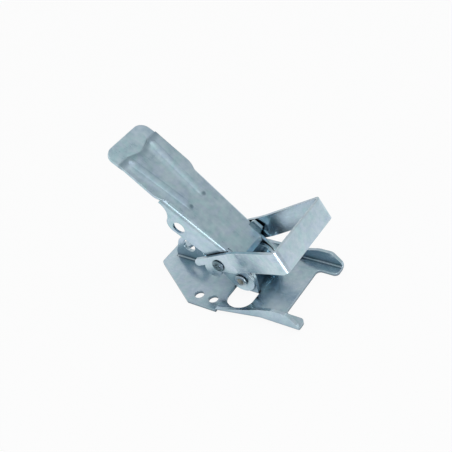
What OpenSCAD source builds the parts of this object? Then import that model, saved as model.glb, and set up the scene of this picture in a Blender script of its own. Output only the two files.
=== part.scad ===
// Over-centre platform latch in zinc-plated pressed steel: a base plate with
// two flanged prongs and three upright lugs, a lever handle on a tubular pin,
// and a strap bail that two rivets carry on the handle.
// Millimetres. +X runs towards the prongs, Y across the plate, +Z is up.
// X = 0 is the pivot, Y = 0 the middle, Z = 0 the underside of the base plate.
// The handle is drawn closed, lying over the plate, and is then lifted.

/* [Pose] */
// lift of the handle above its closed position, degrees
handle_lift = 40; // [0:1:120]
// lift of the bail above level, degrees
bail_lift = 25.9; // [-2:0.1:37]

/* [Base plate] */
// thickness of the base plate's sheet
base_t = 2.5; // [2:0.1:3]
// inside radius of the base plate's bends
base_bend = 1.2; // [0.8:0.1:2]
// X of the narrow end of the plate
plate_end_x = -80.3; // [-84:0.1:-78]
// width of the narrow end
plate_end_w = 24.4; // [20:0.2:30]
// X where the plate reaches its full width
plate_full_x = -36.1; // [-40:0.1:-30]
// full width of the plate
plate_w = 80.4; // [78:0.2:84]
// rounding of the plate's outer corners
plate_corner = 3.5; // [1:0.5:6]
// X of the fork's edge between the prongs
fork_x = 37.8; // [34:0.1:42]
// clear width between the prongs' floors
fork_w = 47.4; // [44:0.2:50]
// rounding of the fork's corners
fork_corner = 3.7; // [2:0.1:6]

/* [Prong flanges] */
// X where the flanges start
flange_start_x = -11.5; // [-14:0.1:-9]
// X where the flanges turn parallel
flange_turn_x = 22.8; // [20:0.1:26]
// width over the parallel flanges
flange_w = 68.6; // [67:0.2:72]
// height of the flanges above the underside
flange_h = 13.1; // [10:0.1:16]
// X of the prongs' ends
prong_end_x = 53.8; // [52:0.1:56]

/* [Bolt holes] */
// diameter of the bolt holes
bolt_hole_d = 7.4; // [6:0.1:8]
// X of the middle of the bolt hole pattern
bolt_x = -24.7; // [-26:0.1:-23]
// pitch along X
bolt_pitch_x = 12.6; // [12:0.1:14]
// pitch along Y
bolt_pitch_y = 63; // [60:0.5:64]

/* [Pivot] */
// height of the pivot above the underside
pivot_z = 14.75; // [14:0.05:16]
// width over the two pivot lugs
lug_w = 28.6; // [27:0.1:29]
// radius of the lugs' round tops
lug_r = 10; // [9:0.1:10.2]
// Y of the far end of each lug's opening
lug_opening_y = 32.9; // [31:0.1:34]
// outer radius of the tubular pin
pin_r = 3.6; // [3:0.1:4]
// radius of the pin's bore
pin_bore_r = 2.6; // [2:0.1:2.8]
// radius of the pin's rolled ends
pin_head_r = 5; // [4.6:0.1:5.6]
// thickness of the pin's rolled ends
pin_head_t = 1.4; // [1:0.1:1.4]

/* [Locking lug] */
// X of the lock hole in the middle lug
lock_x = -58.15; // [-60:0.05:-56]
// height of the lock hole above the underside
lock_z = 16.33; // [15:0.01:17]
// diameter of the lock hole in the lug
lock_hole_d = 11; // [9:0.1:11.4]
// radius of the lug's round top
lock_lug_r = 10.9; // [10:0.1:11]
// width of the lug's foot
lock_lug_foot = 29.6; // [28:0.2:31]

/* [Handle] */
// thickness of the handle's sheet
handle_t = 2; // [1.8:0.1:2.2]
// distance from the pivot to the handle's tip
handle_reach = 131.2; // [128:0.1:134]
// height of the handle's top above the pivot, closed
handle_top = 14.5; // [14.4:0.1:15]
// half width over the side flanges at the pivot
handle_hw = 17.15; // [17.1:0.05:17.2]
// growth of that half width per millimetre of length
handle_taper = 0.05; // [0.045:0.001:0.05]
// inside radius of the fold along the flanges
handle_fold = 2; // [1.5:0.1:2.5]
// distance from the pivot to where the flanges stop
handle_step = 80.4; // [78:0.1:83]
// length over which the sheet widens there
handle_flare = 13; // [10:0.5:16]
// radius of that widening's two bends
flare_r = 12; // [8:0.5:14]
// width of the flat grip
grip_w = 43.4; // [42:0.2:46]
// rounding of the grip's corners
grip_corner = 8; // [4:0.5:12]
// distance from the pivot to the bent tip pad
pad_start = 114.6; // [112:0.1:118]
// bend of the tip pad, degrees
pad_bend = 7; // [3:0.5:10]
// depth of the step in front of the tip pad
pad_step = 0.6; // [0.3:0.1:1]
// radius of the rounded ears round the pivot
ear_r = 10.3; // [9.6:0.1:10.6]
// diameter of the lock holes in the side flanges
handle_hole_d = 10; // [8:0.1:10.6]
// length of the slots beside the nose, from the pivot
nose_slot_end = 22.3; // [20:0.1:24]
// half width of the nose
nose_hw = 13.5; // [12:0.1:14]
// distance from the pivot to the crease of the nose
nose_crease = 12; // [11.6:0.1:13]
// length of the nose's bent lip
nose_lip = 5; // [3:0.1:5.2]
// bend of the nose's lip, degrees
nose_bend = 50; // [40:1:60]
// height of the two beads on the top
bead_h = 0.8; // [0.5:0.1:1.2]
// width of the two beads
bead_w = 5.6; // [4:0.1:6]

/* [Bail] */
// thickness of the bail's strap
bail_t = 2.5; // [2:0.1:2.5]
// distance from the rivets to the outside of the crossbar
bail_reach = 70.2; // [68:0.1:71]
// width over the arms at the rivets
bail_root_w = 43.7; // [43.7:0.1:44.5]
// width over the crossbar
bail_w = 63; // [60:0.1:63]
// strap below and above the rivets' line
bail_low = 8.9; // [8:0.1:9]
bail_high = 8.2; // [8:0.1:9]
// outside radius of the crossbar's corners
bail_corner = 4.5; // [3.5:0.1:6]
// distance from the rivets to where the arms spread
bail_spread = 19; // [16:0.5:22]
// radius of the spread's bend
bail_spread_r = 80; // [40:5:120]
// length of the tongue behind the rivets
tongue = 21.5; // [18:0.1:22]

/* [Bail rivets] */
// distance of the rivets from the pivot along the handle
rivet_v = 19.33; // [19:0.01:20]
// height of the rivets above the pivot, closed
rivet_m = 1.44; // [1:0.01:2]
// radius of the rivets' shanks
rivet_r = 3.5; // [3:0.1:4]
// radius of the rivets' heads
rivet_head_r = 4.75; // [4.6:0.05:5]
// thickness of the rivets' outer heads
rivet_head_t = 2; // [1.4:0.1:2.2]

/* [Clearances] */
// radial clearance of the pin and rivets in the parts that turn on them
running = 0.05; // [0.02:0.01:0.09]
// gap between faces that slide past each other
side_gap = 0.08; // [0.05:0.01:0.15]

/* [Hidden] */
$fn = 64;
base_r = base_bend + base_t;
flange_lap = 2;
hair = 0.02;
flange_angle = atan((plate_w - flange_w) / 2 / (flange_turn_x - flange_start_x));
lug_fold_y = lug_w / 2 - base_r;
lock_fold_y = base_t / 2 - base_r;
lock_lug_z = 13.9;
taper_angle = atan(handle_taper);
handle_r = handle_fold + handle_t;
handle_lap = 2;
fold_m = handle_top - handle_r;
function handle_y(v) = handle_hw + handle_taper * v;
rivet_gap = handle_taper * rivet_head_r + side_gap;
pin_face = handle_hw + handle_taper * pin_head_r + side_gap;
spread_run = bail_reach - bail_corner - bail_spread;
spread_rise = (bail_w - bail_root_w) / 2 - bail_corner;
spread_angle = atan(spread_rise / spread_run)
    + asin(bail_corner / norm([spread_run, spread_rise]));

// Web between two edges that meet at p and the circle that rounds them: taken
// away from a convex corner, or added to a hollow one. The circle just crosses
// the edges.
module corner(p, a, b, r) {
    d1 = (a - p) / norm(a - p);
    d2 = (b - p) / norm(b - p);
    half = acos(d1 * d2) / 2;
    reach = r / tan(half);
    middle = (d1 + d2) / norm(d1 + d2);
    c = p + middle * r / sin(half);
    out1 = (d1 * cos(2 * half) - d2) / sin(2 * half);
    out2 = (d2 * cos(2 * half) - d1) / sin(2 * half);
    t1 = p + d1 * reach;
    t2 = p + d2 * reach;
    difference() {
        polygon([p - middle, t1 + out1 / 2, t1, c, t2, t2 + out2 / 2]);
        translate(c) circle(1.001 * r);
    }
}

// Two copies, one on each side of the middle.
module both_sides() {
    children();
    mirror([0, 1, 0]) children();
}

// Outline drawn in X and Z, as a prism of the given half width across Y.
module side_prism(half) {
    rotate([90, 0, 0]) linear_extrude(2 * half, center = true) children();
}

// Section drawn in Y and Z, drawn out along X.
module along_x(x0, x1) {
    translate([x0, 0, 0]) rotate([90, 0, 90]) linear_extrude(x1 - x0) children();
}

// Section of a sheet bent up through a right angle, its outer face on y = 0.
module upturn(t, inner, top, lap) {
    outer = inner + t;
    translate([-outer, outer]) intersection() {
        difference() {
            circle(outer);
            circle(inner);
        }
        translate([0, -outer]) square(outer);
    }
    translate([-outer - lap, 0]) square([lap, t]);
    translate([-t, outer]) square([t, top - outer]);
}

// Plan of the base plate's flat floor, up to the roots of the flanges.
module base_plan() {
    hw = plate_w / 2;
    end = [plate_end_x, plate_end_w / 2];
    full = [plate_full_x, hw];
    start = [flange_start_x, hw];
    in = base_r + flange_lap / 2;
    root = flange_w / 2 - in;
    past = start + 0.6 * [1, -tan(flange_angle)];
    tip = [prong_end_x, fork_w / 2];
    crotch = [fork_x, fork_w / 2];
    half = [
        end, full, start, past, [past.x, past.y - in / cos(flange_angle)],
        [flange_turn_x, root], [prong_end_x, root], tip, crotch
    ];
    difference() {
        union() {
            polygon(concat(half, [for (i = [8:-1:0]) [half[i].x, -half[i].y]]));
            for (s = [1, -1]) scale([1, s])
                corner(crotch, tip, [fork_x, 0], fork_corner);
        }
        for (s = [1, -1]) scale([1, s]) {
            corner(end, [plate_end_x, 0], full, plate_corner);
            corner(full, end, start, plate_corner);
            corner(tip, crotch, [prong_end_x, hw], plate_corner);
            for (k = [-0.5, 0.5])
                translate([bolt_x + k * bolt_pitch_x, bolt_pitch_y / 2])
                    circle(d = bolt_hole_d);
        }
    }
}

// Opening that a pivot lug leaves in the floor, round at its far end.
module pivot_opening() {
    r = lug_r + 0.5;
    translate([-r, lug_fold_y]) square([2 * r, lug_opening_y - r - lug_fold_y]);
    translate([0, lug_opening_y - r]) circle(r);
}

// Outline of the locking lug about its own middle, its foot on y = 0.
module lock_outline(extra) {
    foot = lock_lug_foot / 2 + extra;
    knee = [foot - 0.6, 7.7];
    r = lock_lug_r + extra;
    c = [0, lock_lug_z];
    turn = atan2((knee - c).y, (knee - c).x) + acos(r / norm(knee - c));
    touch = c + 0.999 * r * [cos(turn), sin(turn)];
    polygon([
        [-foot, 0], [foot, 0], knee, touch, c,
        [-touch.x, touch.y], [-knee.x, knee.y]
    ]);
    translate(c) circle(r);
}

// Opening that the locking lug leaves, on its far side.
module lock_opening() {
    flat = base_r * PI / 2 - base_r;
    translate([lock_x, lock_fold_y + flat - base_t]) intersection() {
        lock_outline(0.4);
        translate([-30, base_t - flat]) square([60, 40]);
    }
}

// Upturned edge of the prong on the +Y side, before its top is cut to shape:
// a slanting and a parallel stretch that lap each other and the floor, each a
// hair higher than the last, so that no two faces only touch.
module prong_flange() {
    turn = [flange_turn_x, flange_w / 2, 0];
    intersection() {
        translate([flange_start_x, plate_w / 2, hair])
            rotate([0, 0, -flange_angle])
            along_x(0, 50) upturn(base_t, base_bend, flange_h, flange_lap);
        translate(turn) rotate([0, 0, -flange_angle / 2])
            translate([-60, -30, -1]) cube([60.1, 60, flange_h + 2]);
    }
    intersection() {
        translate([0, flange_w / 2, 2 * hair])
            along_x(0, prong_end_x) upturn(base_t, base_bend, flange_h, flange_lap);
        translate(turn) rotate([0, 0, -flange_angle / 2])
            translate([-0.1, -30, -1]) cube([60, 60, flange_h + 2]);
    }
}

// Side view of the flanges: they rise along the prongs and are cut off
// slantwise at the ends.
module flange_outline() {
    top = flange_h;
    knee = [prong_end_x - 7.4, top];
    toe = [prong_end_x - 0.6, 6.2];
    difference() {
        polygon([
            [flange_start_x - 2, -1], [flange_start_x - 2, base_t],
            [flange_start_x, base_t], [17, 8], [33.5, top - 0.5], [36.5, top],
            knee, toe, [prong_end_x, 4.4], [prong_end_x, -1]
        ]);
        corner(knee, [0, top], toe, 4);
    }
}

// Base plate: one pressing with its prongs, bolt holes and three lugs.
module base_plate() {
    color([0.72, 0.74, 0.76]) difference() {
        union() {
            difference() {
                union() {
                    linear_extrude(base_t) base_plan();
                    both_sides() intersection() {
                        prong_flange();
                        side_prism(60) flange_outline();
                    }
                }
                translate([0, 0, -1]) linear_extrude(base_t + 2) {
                    pivot_opening();
                    mirror([0, 1]) pivot_opening();
                    lock_opening();
                }
            }
            both_sides() intersection() {
                translate([0, lug_w / 2, 0])
                    along_x(-lug_r, lug_r) upturn(base_t, base_bend, 30, 1);
                side_prism(60) {
                    translate([-lug_r, -1]) square([2 * lug_r, pivot_z + 1]);
                    translate([0, pivot_z]) circle(lug_r);
                }
            }
            intersection() {
                translate([0, base_t / 2, 0])
                    along_x(lock_x - 20, lock_x + 20)
                    upturn(base_t, base_bend, 30, 1);
                side_prism(60) translate([lock_x, 0]) lock_outline(0);
            }
        }
        side_prism(30) translate([0, pivot_z]) circle(pin_r);
        side_prism(10) translate([lock_x, lock_z]) circle(d = lock_hole_d);
    }
}

// Tubular pin with rolled ends, held in the pivot lugs.
module pivot_pin() {
    round_r = pin_head_t / 2;
    color([0.66, 0.68, 0.70]) translate([0, 0, pivot_z]) difference() {
        union() {
            side_prism(pin_face) circle(pin_r);
            both_sides() translate([0, pin_face, 0]) rotate([-90, 0, 0])
                rotate_extrude() {
                    square([pin_head_r - round_r, pin_head_t]);
                    translate([pin_head_r - round_r, round_r]) circle(round_r);
                }
        }
        side_prism(30) circle(pin_bore_r);
    }
}

// Side view of the handle's flanges. X runs from the pivot to the tip.
module handle_outline() {
    lobe = [60.6, 2.6];
    lobe_r = 8.2;
    bay = [79.4, -0.3];
    bay_r = norm(bay - lobe) - lobe_r + 0.05;
    difference() {
        union() {
            circle(ear_r);
            translate(lobe) circle(lobe_r);
            polygon([
                [0, ear_r - 0.03], [11, ear_r], [13.5, 18.4], [21.5, 17.5],
                [nose_slot_end, handle_top], [handle_step, handle_top],
                [handle_step, lobe.y], lobe, [lobe.x, lobe.y - lobe_r + 0.1],
                [49.2, -4.9], [33, -3.4], [2, -0.96 * ear_r], [0, 0]
            ]);
        }
        translate(bay) circle(bay_r);
    }
}

// One side flange, drawn along the taper of the handle.
module handle_side() {
    depth = 12;
    translate([0, handle_hw, 0]) rotate([0, 0, taper_angle]) {
        along_x(-12, nose_slot_end)
            translate([-handle_t, -depth]) square([handle_t, depth + 20]);
        along_x(nose_slot_end - 0.3, handle_step + 1)
            translate([0, handle_top - hair]) mirror([0, 1])
            upturn(handle_t, handle_fold, handle_top + depth, handle_lap);
    }
}

// Top sheet of the handle from the slots to the step before the tip pad.
module handle_top_plan() {
    in = handle_r + handle_lap / 2;
    start = [nose_slot_end, handle_y(nose_slot_end) - in];
    wide = [handle_step + 3.6, grip_w / 2];
    narrow = [wide.x - handle_flare, handle_y(wide.x - handle_flare) - in];
    wave = 12;
    sag = 3.4;
    wave_r = (wave * wave + sag * sag) / 2 / sag;
    end = [pad_start + sag, wide.y];
    half = [start, narrow, wide, end];
    difference() {
        union() {
            polygon(concat(half, [for (i = [3:-1:0]) [half[i].x, -half[i].y]]));
            for (s = [1, -1]) scale([1, s]) corner(narrow, start, wide, flare_r);
        }
        for (s = [1, -1]) scale([1, s]) corner(wide, narrow, end, flare_r);
        translate([pad_start + wave_r, 0]) circle(wave_r);
    }
}

// Side view of the nose: flat up to the crease, then bent down as a lip.
module nose_outline() {
    crease = [nose_crease, handle_top - handle_t];
    end = crease - nose_lip * [cos(nose_bend), sin(nose_bend)];
    polygon([
        crease, end, end + handle_t * [-sin(nose_bend), cos(nose_bend)],
        crease + handle_t * [-tan(nose_bend / 2), 1],
        [nose_slot_end + 2, handle_top], [nose_slot_end + 2, crease.y]
    ]);
}

// Tip pad of the handle, stepped down and bent towards the plate.
module tip_pad() {
    hw = grip_w / 2 - 2 * hair;
    long = (handle_reach - pad_start) / cos(pad_bend);
    translate([pad_start, 0, handle_top - pad_step]) rotate([0, pad_bend, 0])
        translate([0, 0, -handle_t]) linear_extrude(handle_t) difference() {
            translate([-0.5, -hw]) square([long + 0.5, 2 * hw]);
            for (s = [1, -1]) scale([1, s])
                corner([long, hw], [0, hw], [long, 0], grip_corner);
        }
}

// Bar with round ends from the grip towards the middle of the handle: it
// gives the bead on the top, and smaller the groove under it.
module bead(half, high, top) {
    r = (half * half + high * high) / 2 / high;
    from = [62.2, 8];
    to = [112.6, 12.4];
    run = norm(to - from);
    translate([from.x, from.y, top + high - r])
        rotate([0, 0, atan2(to.y - from.y, to.x - from.x)]) {
            sphere(1.002 * r);
            rotate([0, 90, 0]) cylinder(r = r, h = run);
            translate([run, 0, 0]) sphere(1.002 * r);
        }
}

// Handle as one pressing, X from the pivot to the tip, Z up from the pivot.
module handle_closed() {
    under = handle_top - handle_t;
    groove = bead_w / 2 - 0.7;
    difference() {
        union() {
            translate([0, 0, under]) linear_extrude(handle_t) handle_top_plan();
            tip_pad();
            both_sides() intersection() {
                handle_side();
                side_prism(40) handle_outline();
            }
            intersection() {
                both_sides() bead(bead_w / 2, bead_h, handle_top);
                translate([0, -30, under + 0.1]) cube([140, 60, 10]);
            }
            side_prism(nose_hw) nose_outline();
        }
        both_sides() bead(groove, bead_h, under);
        side_prism(40) circle(pin_r + running);
        side_prism(40) translate([rivet_v, rivet_m]) circle(rivet_r + running);
        side_prism(40) translate([-lock_x, lock_z - pivot_z])
            circle(d = handle_hole_d);
    }
}

// Places what is drawn in the closed handle's own axes.
module on_handle() {
    translate([0, 0, pivot_z]) rotate([0, handle_lift, 0]) mirror([1, 0, 0])
        children();
}

// Lever handle, lifted.
module handle() {
    color([0.75, 0.77, 0.79]) on_handle() handle_closed();
}

// Plan of the bail: the area inside its outer or its inner face.
module bail_plan(t) {
    x1 = bail_spread + t * tan(spread_angle / 2);
    x2 = bail_reach - t;
    y1 = bail_root_w / 2 - t;
    root = [-tongue - 2 * t, y1];
    knee = [x1, y1];
    shoulder = [x2, y1 + (x2 - x1) * tan(spread_angle)];
    difference() {
        union() {
            polygon([
                root, knee, shoulder, [x2, -shoulder.y],
                [x1, -y1], [root.x, -y1]
            ]);
            for (s = [1, -1]) scale([1, s])
                corner(knee, root, shoulder, bail_spread_r + t);
        }
        for (s = [1, -1]) scale([1, s])
            corner(shoulder, knee, [x2, 0], bail_corner - t);
    }
}

// Side view of the bail: the strap with a tongue and a round lobe behind the
// rivets.
module bail_outline() {
    polygon([
        [9, -bail_low], [80, -bail_low], [80, bail_high], [2.5 - tongue, bail_high],
        [-tongue, 6], [-tongue, 3.6], [1.5 - tongue, 2.4], [-12.5, 2.4],
        [-11, -2], [-6, -5], [2.3, -6.6]
    ]);
    translate([-7.6, -2.3]) circle(7);
}

// Strap bail, hinged on the handle's rivets.
module bail() {
    color([0.70, 0.72, 0.74]) on_bail() difference() {
        intersection() {
            translate([0, 0, -10]) linear_extrude(20) difference() {
                bail_plan(0);
                bail_plan(bail_t);
            }
            side_prism(50) bail_outline();
        }
        side_prism(50) circle(rivet_r + running);
    }
}

// Places what is drawn in the bail's own axes, its rivets on the origin.
module on_bail() {
    a = handle_lift;
    translate([
        rivet_m * sin(a) - rivet_v * cos(a), 0,
        pivot_z + rivet_v * sin(a) + rivet_m * cos(a)
    ]) rotate([0, -bail_lift, 0]) children();
}

// Rivet of the +Y side: inner head, shoulder between the sheets, and a domed
// outer head with the dimple of the tool that spun it.
module bail_rivet() {
    inside = handle_y(rivet_v) - handle_t - rivet_gap;
    outside = handle_y(rivet_v) + rivet_gap;
    arm = bail_root_w / 2;
    head = arm + side_gap;
    dome = rivet_head_t - 0.8;
    dome_r = (rivet_head_r * rivet_head_r + dome * dome) / 2 / dome;
    on_bail() rotate([-90, 0, 0]) {
        translate([0, 0, inside - 1.3]) cylinder(r = rivet_head_r - 0.15, h = 1.3);
        translate([0, 0, inside - 0.5]) cylinder(r = rivet_r, h = head - inside + 1);
        translate([0, 0, outside])
            cylinder(r = rivet_head_r - 0.15, h = arm - bail_t - side_gap - outside);
        translate([0, 0, head]) difference() {
            intersection() {
                cylinder(r = rivet_head_r, h = rivet_head_t);
                translate([0, 0, rivet_head_t - dome_r]) sphere(dome_r);
            }
            translate([0, 0, rivet_head_t - 0.7]) cylinder(r1 = 1.1, r2 = 3.1, h = 0.8);
        }
    }
}

// Rivet on the +Y side.
module bail_rivet_left() {
    color([0.62, 0.64, 0.66]) bail_rivet();
}

// Rivet on the -Y side.
module bail_rivet_right() {
    color([0.62, 0.64, 0.66]) mirror([0, 1, 0]) bail_rivet();
}

base_plate();
pivot_pin();
handle();
bail();
bail_rivet_left();
bail_rivet_right();
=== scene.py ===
from math import radians

import bpy
from mathutils import Matrix, Vector

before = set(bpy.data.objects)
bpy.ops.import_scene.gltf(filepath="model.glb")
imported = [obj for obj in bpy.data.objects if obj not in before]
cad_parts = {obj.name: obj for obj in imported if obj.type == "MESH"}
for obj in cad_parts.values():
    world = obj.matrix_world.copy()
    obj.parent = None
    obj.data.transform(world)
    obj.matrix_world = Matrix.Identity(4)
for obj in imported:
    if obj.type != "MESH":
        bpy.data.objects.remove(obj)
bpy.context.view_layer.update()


# Base plate: one blank of 2.5 mm cold-rolled steel, pierced, its three lugs
# lanced and bent up and the prongs' edges turned up in one press stroke, then
# barrel zinc plated with a clear blue passivation.

mm = 0.001


def tone(code):
    """The linear colour of an sRGB hex value."""
    shares = [int(code[i:i + 2], 16) / 255 for i in (1, 3, 5)]
    linear = [c / 12.92 if c <= 0.04045 else ((c + 0.055) / 1.055) ** 2.4 for c in shares]
    return linear + [1.0]


def add(tree, kind, settings=None, **inputs):
    """A node with its settings; an input is named, or numbered as in _0."""
    node = tree.nodes.new(kind)
    for key, value in (settings or {}).items():
        setattr(node, key, value)
    for key, value in inputs.items():
        number = key[1:]
        socket = node.inputs[int(number) if number.isdigit() else key.replace("_", " ")]
        if isinstance(value, bpy.types.NodeSocket):
            tree.links.new(value, socket)
        else:
            socket.default_value = value
    return node


def source(shader, name):
    """The output that feeds one of the shader's sockets."""
    return shader.inputs[name].links[0].from_socket


def blue_zinc(name, light, deep, edge, turn, rough, painted_shade_floor, crease_shade_floor, seed):
    """Blue-passivated zinc on steel: a satin metal whose sheen runs with the
    rolling, cloudy where the film is thick, bright where the barrel has
    rubbed the edges, and with painted shade: bluer where walls enclose it,
    greyer where faces meet within 4 mm."""
    zinc = bpy.data.materials.new(name)
    zinc.use_nodes = True
    tree = zinc.node_tree
    shader = tree.nodes["Principled BSDF"]
    shader.inputs["Metallic"].default_value = 1.0
    place = add(tree, "ShaderNodeTexCoord").outputs["Object"]
    sheet = add(tree, "ShaderNodeMapping", Vector=place, Rotation=turn,
                Location=(seed, seed * 0.7, seed * 0.3)).outputs[0]

    # clouds of thicker film, 20 mm across
    clouds = add(tree, "ShaderNodeTexNoise", Vector=sheet, Scale=1 / (20 * mm), Detail=4.0,
                 Roughness=0.55, Distortion=0.4).outputs["Fac"]
    # rolling lines, 40 mm long and 0.9 mm apart, drawn coarser than real ones
    rolled = add(tree, "ShaderNodeMapping", Vector=sheet,
                 Scale=(1 / (40 * mm), 1 / (0.9 * mm), 1 / (0.9 * mm))).outputs[0]
    lines = add(tree, "ShaderNodeTexNoise", Vector=rolled, Scale=1.0, Detail=3.0,
                Roughness=0.6).outputs["Fac"]
    # spots of stain and dried rinse water, 4 mm across
    spots = add(tree, "ShaderNodeTexNoise", Vector=sheet, Scale=1 / (4 * mm),
                Detail=2.0).outputs["Fac"]
    # crystals of the zinc, 1.2 mm, drawn coarser than real ones
    crystals = add(tree, "ShaderNodeTexNoise", Vector=sheet, Scale=1 / (1.2 * mm),
                   Detail=2.0).outputs["Fac"]
    # scratches from the barrel, 18 mm long, 24 degrees off the rolling
    slant = add(tree, "ShaderNodeMapping", Vector=sheet,
                Rotation=(0.2, 0.1, radians(24))).outputs[0]
    drawn = add(tree, "ShaderNodeMapping", Vector=slant,
                Scale=(1 / (18 * mm), 1 / (0.7 * mm), 1 / (0.7 * mm))).outputs[0]
    streaks = add(tree, "ShaderNodeTexNoise", Vector=drawn, Scale=1.0, Detail=1.0).outputs["Fac"]
    scratch = add(tree, "ShaderNodeMapRange", Value=streaks, From_Min=0.70,
                  From_Max=0.76).outputs[0]

    # how far the place is walled in, within 42 mm and within 4 mm
    hollow = add(tree, "ShaderNodeAmbientOcclusion", {"samples": 8},
                 Distance=42 * mm).outputs["AO"]
    nook = add(tree, "ShaderNodeAmbientOcclusion", {"samples": 8},
               Distance=4 * mm).outputs["AO"]
    # outer edges, which the barrel rubs bright
    wide_edge = add(tree, "ShaderNodeBevel", {"samples": 8}, Radius=0.6 * mm).outputs[0]
    flat = add(tree, "ShaderNodeNewGeometry").outputs["Normal"]
    lean = add(tree, "ShaderNodeVectorMath", {"operation": "DOT_PRODUCT"}, _0=wide_edge,
               _1=flat).outputs["Value"]
    worn = add(tree, "ShaderNodeMapRange", Value=lean, From_Min=0.94, From_Max=0.75,
               To_Min=0.0, To_Max=0.7).outputs[0]
    outside = add(tree, "ShaderNodeMapRange", Value=nook, From_Min=0.80,
                  From_Max=0.96).outputs[0]
    reached = add(tree, "ShaderNodeMapRange", Value=hollow, From_Min=0.55, From_Max=0.80,
                  To_Max=outside).outputs[0]
    rub = add(tree, "ShaderNodeMath", {"operation": "MULTIPLY"}, _0=worn, _1=reached).outputs[0]

    # colour: the film, its faint play from sea green to violet, stains, edges
    film = add(tree, "ShaderNodeMix", {"data_type": "RGBA"}, Factor=clouds, _6=tone(deep),
               _7=tone(light)).outputs[2]
    drift = add(tree, "ShaderNodeTexNoise", Vector=sheet, Scale=1 / (11 * mm), Detail=3.0,
                Distortion=1.2).outputs["Fac"]
    play = add(tree, "ShaderNodeValToRGB", Fac=drift)
    ramp = play.color_ramp.elements
    ramp[0].position = 0.36
    ramp[0].color = tone("#B3C4BD")
    ramp[1].position = 0.64
    ramp[1].color = tone("#C3BCCF")
    ramp.new(0.5).color = tone("#BCBCBC")
    tinted = add(tree, "ShaderNodeMix", {"data_type": "RGBA", "blend_type": "OVERLAY"},
                 Factor=0.45, _6=film, _7=play.outputs[0]).outputs[2]
    stained = add(tree, "ShaderNodeMix", {"data_type": "RGBA", "blend_type": "SOFT_LIGHT"},
                  Factor=0.5, _6=tinted, _7=spots).outputs[2]
    lined = add(tree, "ShaderNodeMix", {"data_type": "RGBA", "blend_type": "SOFT_LIGHT"},
                Factor=0.22, _6=stained, _7=lines).outputs[2]
    rubbed = add(tree, "ShaderNodeMix", {"data_type": "RGBA"}, Factor=rub, _6=lined,
                 _7=tone(edge)).outputs[2]
    # painted shade: between walls the colour is made deeper and bluer, and in creases greyer
    shade = add(tree, "ShaderNodeMapRange", Value=hollow, From_Min=0.15, From_Max=0.85,
                To_Min=painted_shade_floor, To_Max=1.0).outputs[0]
    painted_shade_tint = add(tree, "ShaderNodeMix", {"data_type": "RGBA"}, Factor=shade,
                  _6=tone("#3F6E83"), _7=tone("#FFFFFF")).outputs[2]
    painted_shade_colour = add(tree, "ShaderNodeMix", {"data_type": "RGBA", "blend_type": "MULTIPLY"},
                    Factor=1.0, _6=rubbed, _7=painted_shade_tint).outputs[2]
    painted_crease_shade = add(tree, "ShaderNodeMapRange", Value=nook, From_Min=0.50, From_Max=0.90,
                 To_Min=crease_shade_floor, To_Max=1.0).outputs[0]
    crease_shaded_colour = add(tree, "ShaderNodeMix", {"data_type": "RGBA", "blend_type": "MULTIPLY"},
                  Factor=1.0, _6=painted_shade_colour, _7=painted_crease_shade).outputs[2]
    tree.links.new(crease_shaded_colour, shader.inputs["Base Color"])

    # roughness: lines, spots and clouds each add a little; rough is the mean
    grain = add(tree, "ShaderNodeMath", {"operation": "MULTIPLY_ADD"}, _0=lines, _1=0.08,
                _2=rough - 0.14).outputs[0]
    matt = add(tree, "ShaderNodeMath", {"operation": "MULTIPLY_ADD"}, _0=spots, _1=0.10,
               _2=grain).outputs[0]
    satin = add(tree, "ShaderNodeMath", {"operation": "MULTIPLY_ADD"}, _0=clouds, _1=0.10,
                _2=matt).outputs[0]
    tree.links.new(satin, shader.inputs["Roughness"])

    # relief: sheared edges rounded by 0.4 mm, grain and scratches 0.03 mm
    # deep, and the slow waves of pressed sheet, 30 mm long
    round_edge = add(tree, "ShaderNodeBevel", {"samples": 12}, Radius=0.4 * mm).outputs[0]
    height = add(tree, "ShaderNodeMath", {"operation": "MULTIPLY_ADD"}, _0=crystals, _1=0.3,
                 _2=lines).outputs[0]
    cut = add(tree, "ShaderNodeMath", {"operation": "MULTIPLY_ADD"}, _0=scratch, _1=-0.8,
              _2=height).outputs[0]
    fine = add(tree, "ShaderNodeBump", Strength=0.05, Distance=0.03 * mm, Height=cut,
               Normal=round_edge).outputs[0]
    waves = add(tree, "ShaderNodeTexNoise", Vector=sheet, Scale=1 / (30 * mm),
                Detail=1.0).outputs["Fac"]
    wavy = add(tree, "ShaderNodeBump", Strength=0.4, Distance=0.8 * mm, Height=waves,
               Normal=fine).outputs[0]
    tree.links.new(wavy, shader.inputs["Normal"])
    return zinc


def coat(node, zinc):
    """The node's solid takes the finish."""
    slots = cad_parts[node].data.materials
    slots.clear()
    slots.append(zinc)


# bright blue zinc on rolled sheet: the palest, and mirror-like on the flats
plate_zinc = blue_zinc("blue_zinc_base_plate", light="#D6E8F0", deep="#A2BCCB",
                       edge="#E6EEF1", turn=(0, 0, 0), rough=0.22, painted_shade_floor=0.15,
                       crease_shade_floor=0.30, seed=0.0)
coat("base_plate", plate_zinc)


# Pivot pin: a drawn steel tube, pushed through ears and lugs and rolled over
# at both ends into smooth beads.

def from_axis(tree, x, z):
    """The distance from a line across the latch, through x and z."""
    place = add(tree, "ShaderNodeTexCoord").outputs["Object"]
    axes = add(tree, "ShaderNodeSeparateXYZ", Vector=place).outputs
    side = add(tree, "ShaderNodeCombineXYZ", X=axes["X"], Y=0.0, Z=axes["Z"]).outputs[0]
    return add(tree, "ShaderNodeVectorMath", {"operation": "DISTANCE"}, _0=side,
               _1=(x, 0.0, z)).outputs["Value"]


# the same zinc on drawn tube: a little greyer, its lines along the pin
pin_zinc = blue_zinc("blue_zinc_pivot_pin", light="#C3D2DA", deep="#A0B2BC",
                     edge="#E4EAED", turn=(0, 0, radians(90)), rough=0.24, painted_shade_floor=0.85,
                     crease_shade_floor=0.60, seed=0.31)
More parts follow.
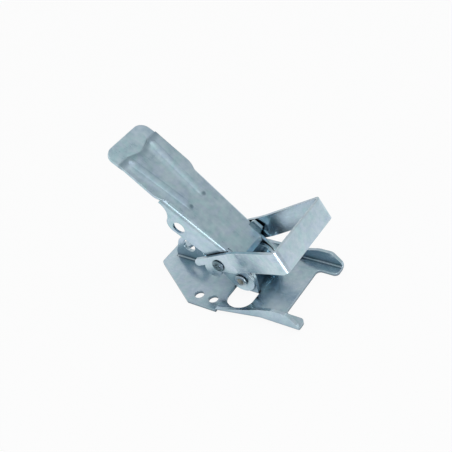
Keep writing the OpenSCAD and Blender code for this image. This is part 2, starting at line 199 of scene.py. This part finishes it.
# painted light: inside the tube, 2.6 mm from its axis, the zinc is made a dull pale
# white, less metallic and rougher, so that the deep bore shows light
tree = pin_zinc.node_tree
shader = tree.nodes["Principled BSDF"]
bore = add(tree, "ShaderNodeMapRange", Value=from_axis(tree, 0.0, 14.75 * mm),
           From_Min=2.68 * mm, From_Max=2.85 * mm, To_Min=1.0, To_Max=0.0).outputs[0]
white = add(tree, "ShaderNodeMix", {"data_type": "RGBA"}, Factor=bore,
            _6=source(shader, "Base Color"), _7=tone("#AEB4AE")).outputs[2]
metal = add(tree, "ShaderNodeMath", {"operation": "MULTIPLY_ADD"}, _0=bore, _1=-0.9,
            _2=1.0).outputs[0]
chalky = add(tree, "ShaderNodeMath", {"operation": "MULTIPLY_ADD"}, _0=bore, _1=0.5,
             _2=source(shader, "Roughness")).outputs[0]
tree.links.new(white, shader.inputs["Base Color"])
tree.links.new(metal, shader.inputs["Metallic"])
tree.links.new(chalky, shader.inputs["Roughness"])
coat("pivot_pin", pin_zinc)


# Handle: one blank of 2 mm sheet, folded to a channel whose flanges end in
# ears, with a flat grip, two pressed beads and a stepped, bent tip; plated
# with the plate.

handle_lift = radians(40)
# the same zinc, duller: the grip is a broad face that lies on others in the barrel
handle_zinc = blue_zinc("blue_zinc_handle", light="#C9DEE6", deep="#9BB5C3",
                        edge="#E9F0F3", turn=(0, -handle_lift, 0), rough=0.30, painted_shade_floor=0.85,
                        crease_shade_floor=0.60, seed=0.83)

# The beads have soft feet and end towards the pivot in small pits. Both are
# shallower than the solid shows, so they are drawn as relief 0.5 mm deep, in
# the handle's closed position: X along it from the pivot, Y across.
tree = handle_zinc.node_tree
shader = tree.nodes["Principled BSDF"]
place = add(tree, "ShaderNodeTexCoord").outputs["Object"]
closed = add(tree, "ShaderNodeMapping", Vector=place, Rotation=(0, -handle_lift, 0),
             Location=(9.481 * mm, 0, -11.299 * mm)).outputs[0]
axes = add(tree, "ShaderNodeSeparateXYZ", Vector=closed).outputs
along = axes["X"]
off = add(tree, "ShaderNodeMath", {"operation": "ABSOLUTE"}, _0=axes["Y"]).outputs[0]
# the beads' middle lines run 5 degrees apart from the handle's own
bead_slope = 0.0873
bead_line = add(tree, "ShaderNodeMath", {"operation": "MULTIPLY_ADD"}, _0=along,
                _1=bead_slope, _2=-2.57 * mm).outputs[0]
beside = add(tree, "ShaderNodeMath", {"operation": "ADD"}, _0=off, _1=bead_line).outputs[0]
ridge = add(tree, "ShaderNodeMath", {"operation": "ABSOLUTE"}, _0=beside).outputs[0]
foot = add(tree, "ShaderNodeMapRange", {"interpolation_type": "SMOOTHERSTEP"}, Value=ridge,
           From_Min=1.0 * mm, From_Max=8.5 * mm, To_Min=1.0, To_Max=0.0).outputs[0]
far_end = add(tree, "ShaderNodeMapRange", {"interpolation_type": "SMOOTHERSTEP"}, Value=along,
              From_Min=-115.5 * mm, From_Max=-108.5 * mm).outputs[0]
near_end = add(tree, "ShaderNodeMapRange", {"interpolation_type": "SMOOTHERSTEP"}, Value=along,
               From_Min=-68.0 * mm, From_Max=-60.0 * mm, To_Min=1.0, To_Max=0.0).outputs[0]
ends = add(tree, "ShaderNodeMath", {"operation": "MULTIPLY"}, _0=far_end,
           _1=near_end).outputs[0]
feet = add(tree, "ShaderNodeMath", {"operation": "MULTIPLY"}, _0=foot, _1=ends).outputs[0]
one_side = add(tree, "ShaderNodeCombineXYZ", X=along, Y=off, Z=0.0).outputs[0]
from_pit = add(tree, "ShaderNodeVectorMath", {"operation": "DISTANCE"}, _0=one_side,
               _1=(-61.2 * mm, 7.9 * mm, 0.0)).outputs["Value"]
pit = add(tree, "ShaderNodeMapRange", {"interpolation_type": "SMOOTHERSTEP"}, Value=from_pit,
          From_Min=0.4 * mm, From_Max=2.6 * mm, To_Min=1.0, To_Max=0.0).outputs[0]
relief = add(tree, "ShaderNodeMath", {"operation": "MULTIPLY_ADD"}, _0=pit, _1=-0.6,
             _2=feet).outputs[0]
pressed = add(tree, "ShaderNodeBump", Strength=1.0, Distance=0.5 * mm, Height=relief,
              Normal=source(shader, "Normal")).outputs[0]
tree.links.new(pressed, shader.inputs["Normal"])
# stretched over the beads, the coat is duller
stretched = add(tree, "ShaderNodeMath", {"operation": "MULTIPLY_ADD"}, _0=feet, _1=0.22,
                _2=source(shader, "Roughness")).outputs[0]
tree.links.new(stretched, shader.inputs["Roughness"])
# painted shade: the colour is darkened in the pits, and before the step, which sags to the
# middle
step_line = add(tree, "ShaderNodeMapRange", {"interpolation_type": "SMOOTHSTEP"}, Value=off,
                From_Min=0.0, From_Max=12 * mm, To_Min=114.6 * mm,
                To_Max=118 * mm).outputs[0]
before = add(tree, "ShaderNodeMath", {"operation": "ADD"}, _0=step_line,
             _1=along).outputs[0]
start = add(tree, "ShaderNodeMapRange", Value=before, From_Min=-0.6 * mm,
            From_Max=0.6 * mm).outputs[0]
fade = add(tree, "ShaderNodeMapRange", {"interpolation_type": "SMOOTHERSTEP"}, Value=before,
           From_Min=0.4 * mm, From_Max=7.5 * mm, To_Min=0.42, To_Max=0.0).outputs[0]
step = add(tree, "ShaderNodeMath", {"operation": "MULTIPLY"}, _0=start, _1=fade).outputs[0]
pit_and_step_painted_shade = add(tree, "ShaderNodeMath", {"operation": "MULTIPLY_ADD", "use_clamp": True}, _0=pit,
            _1=0.6, _2=step).outputs[0]
darker = add(tree, "ShaderNodeMix", {"data_type": "RGBA", "blend_type": "MULTIPLY"},
             Factor=pit_and_step_painted_shade, _6=source(shader, "Base Color"), _7=tone("#6F8694")).outputs[2]
tree.links.new(darker, shader.inputs["Base Color"])
coat("handle", handle_zinc)


# Bail: a strip of 2.5 mm spring-hard steel bent to a hoop, its arms spread
# and their ends cut to a tongue and a lobe; plated with the rest.

# the same zinc on hard strip: smooth, with the deepest painted shade inside the hoop
bail_zinc = blue_zinc("blue_zinc_bail", light="#D0E1E8", deep="#A6BECB", edge="#EDF3F5",
                      turn=(0, radians(25.9), 0), rough=0.22, painted_shade_floor=0.0, crease_shade_floor=0.45,
                      seed=1.37)
coat("bail", bail_zinc)


# Bail rivets: cold-headed steel shoulder rivets, set with an orbiting tool
# that dimples and tears the outer heads.

# zinc rubbed thin on a worked head: the darkest metal of the latch
rivet_zinc = blue_zinc("blue_zinc_rivets", light="#8399A4", deep="#52656F",
                       edge="#CFDADF", turn=(0, 0, 0), rough=0.26, painted_shade_floor=0.40,
                       crease_shade_floor=0.45, seed=2.21)
# the torn face, up to 3 mm from the rivets' axis, in lumps of 1.6 mm
tree = rivet_zinc.node_tree
shader = tree.nodes["Principled BSDF"]
struck = add(tree, "ShaderNodeMapRange", {"interpolation_type": "SMOOTHSTEP"},
             Value=from_axis(tree, -13.882 * mm, 28.2782 * mm), From_Min=2.6 * mm,
             From_Max=3.6 * mm, To_Min=1.0, To_Max=0.0).outputs[0]
place = add(tree, "ShaderNodeTexCoord").outputs["Object"]
torn = add(tree, "ShaderNodeTexNoise", Vector=place, Scale=1 / (1.6 * mm), Detail=3.0,
           Distortion=1.5).outputs["Fac"]
# the hollows between the lumps are darkened: torn zinc, and painted shade in the dimples
dark = add(tree, "ShaderNodeMapRange", Value=torn, From_Min=0.38, From_Max=0.60,
           To_Min=0.85, To_Max=0.0).outputs[0]
patch = add(tree, "ShaderNodeMath", {"operation": "MULTIPLY"}, _0=dark,
            _1=struck).outputs[0]
torn_and_shaded_head = add(tree, "ShaderNodeMix", {"data_type": "RGBA", "blend_type": "MULTIPLY"},
              Factor=patch, _6=source(shader, "Base Color"), _7=tone("#3B4A52")).outputs[2]
tree.links.new(torn_and_shaded_head, shader.inputs["Base Color"])
lumps = add(tree, "ShaderNodeMath", {"operation": "MULTIPLY"}, _0=torn,
            _1=struck).outputs[0]
lumpy = add(tree, "ShaderNodeBump", Strength=1.0, Distance=0.6 * mm, Height=lumps,
            Normal=source(shader, "Normal")).outputs[0]
tree.links.new(lumpy, shader.inputs["Normal"])
coat("bail_rivet_left", rivet_zinc)
coat("bail_rivet_right", rivet_zinc)


# Studio: a sheet of white paper that runs out of sight, under a pale grey
# surround, with soft lamps.

half = 30.0
under = -0.3 * mm
floor = bpy.data.objects.new("floor", bpy.data.meshes.new("floor"))
floor.data.from_pydata([(-half, -half, under), (half, -half, under),
                        (half, half, under), (-half, half, under)], [], [(0, 1, 2, 3)])
bpy.context.scene.collection.objects.link(floor)

# matt white paper, which the camera and the metal see as nearly even white,
# and which keeps a little of the latch's shadow
paper = bpy.data.materials.new("floor_paper")
paper.use_nodes = True
tree = paper.node_tree
shader = tree.nodes["Principled BSDF"]
shader.inputs["Base Color"].default_value = tone("#EDEFF0")
shader.inputs["Roughness"].default_value = 0.9
white = add(tree, "ShaderNodeEmission", Color=(1, 1, 1, 1), Strength=1.0).outputs[0]
rays = add(tree, "ShaderNodeLightPath").outputs
seen = add(tree, "ShaderNodeMath", {"operation": "MAXIMUM"}, _0=rays["Is Camera Ray"],
           _1=rays["Is Glossy Ray"]).outputs[0]
seen_or_clear = add(tree, "ShaderNodeMath", {"operation": "MAXIMUM"}, _0=seen,
                    _1=rays["Is Transmission Ray"]).outputs[0]
share = add(tree, "ShaderNodeMath", {"operation": "MULTIPLY"}, _0=seen_or_clear,
            _1=0.92).outputs[0]
sheet = add(tree, "ShaderNodeMixShader", _0=share, _1=shader.outputs[0],
            _2=white).outputs[0]
tree.links.new(sheet, tree.nodes["Material Output"].inputs["Surface"])
floor.data.materials.append(paper)

world = bpy.data.worlds.new("studio")
world.use_nodes = True
surround = world.node_tree.nodes["Background"].inputs
surround["Strength"].default_value = 0.6
surround["Color"].default_value = (1, 1, 1, 1)
bpy.context.scene.world = world

# A big soft lamp above; a small one near the camera, for the thin lights on
# the folds; a low broad one, which the bail's corner mirrors; a faint one
# behind on the left, which lightens that end of the plate. Sizes in metres.
middle = Vector((0, 0, 30 * mm))
for name, spot, wide, high, power in (
        ("top", (0.1, 0.2, 1.9), 1.6, 1.6, 4.5),
        ("front", (0.75, -0.82, 0.87), 0.30, 0.30, 1.3),
        ("low", (1.12, -1.12, 0.12), 0.55, 0.23, 6.0),
        ("left", (-1.20, 0.75, 0.86), 0.50, 0.50, 0.24)):
    light = bpy.data.lights.new(name, "AREA")
    light.shape = "RECTANGLE"
    light.size = wide
    light.size_y = high
    light.energy = power
    lamp = bpy.data.objects.new(name, light)
    lamp.location = spot
    lamp.rotation_euler = (middle - Vector(spot)).to_track_quat("-Z", "Y").to_euler()
    bpy.context.scene.collection.objects.link(lamp)

# the photograph's camera, as fitted to the latch's own sizes
camera = bpy.data.objects.new("camera", bpy.data.cameras.new("camera"))
camera.data.sensor_width = 36.0
camera.data.lens = 64.67
camera.matrix_world = Matrix((
    (0.8176, -0.2167, 0.5334, 0.2912),
    (0.5403, 0.6092, -0.5805, -0.3357),
    (-0.1991, 0.7628, 0.6152, 0.4025),
    (0, 0, 0, 1),
))
bpy.context.scene.collection.objects.link(camera)
bpy.context.scene.camera = camera
bpy.context.scene.view_settings.view_transform = "Standard"
